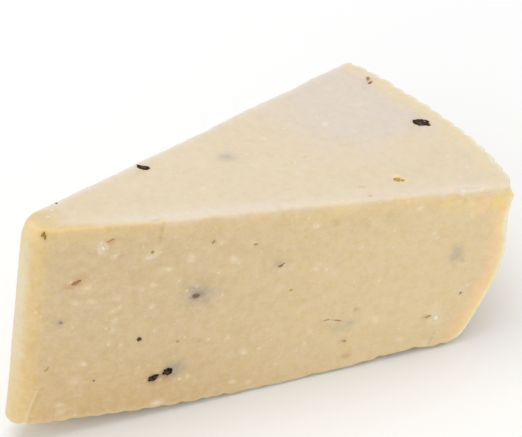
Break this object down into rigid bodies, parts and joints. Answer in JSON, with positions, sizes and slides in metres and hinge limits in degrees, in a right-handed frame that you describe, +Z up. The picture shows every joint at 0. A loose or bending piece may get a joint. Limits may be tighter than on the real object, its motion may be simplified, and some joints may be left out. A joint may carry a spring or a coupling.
{
  "type": "pepato cheese wedge",
  "caption": "Wedge of hard aged sheep's milk cheese with black pepper, cut from a basket-moulded wheel, standing on its bulging ringed underside.",
  "frame": {"origin": "centre of the wedge's box in plan, at the height of the surface it stands on", "axes": "+X along the middle of the wedge from its tip towards the rind, +Y towards the back cut, +Z up"},
  "size_m": [0.1444, 0.0754, 0.0663],
  "materials": {
    "cheese_paste": "satin, slightly translucent",
    "black_pepper": "dull, wrinkled and cracked"
  },
  "bodies": {
    "root": {"cheese_wedge": "cheese_paste"}
  },
  "joints": []
}
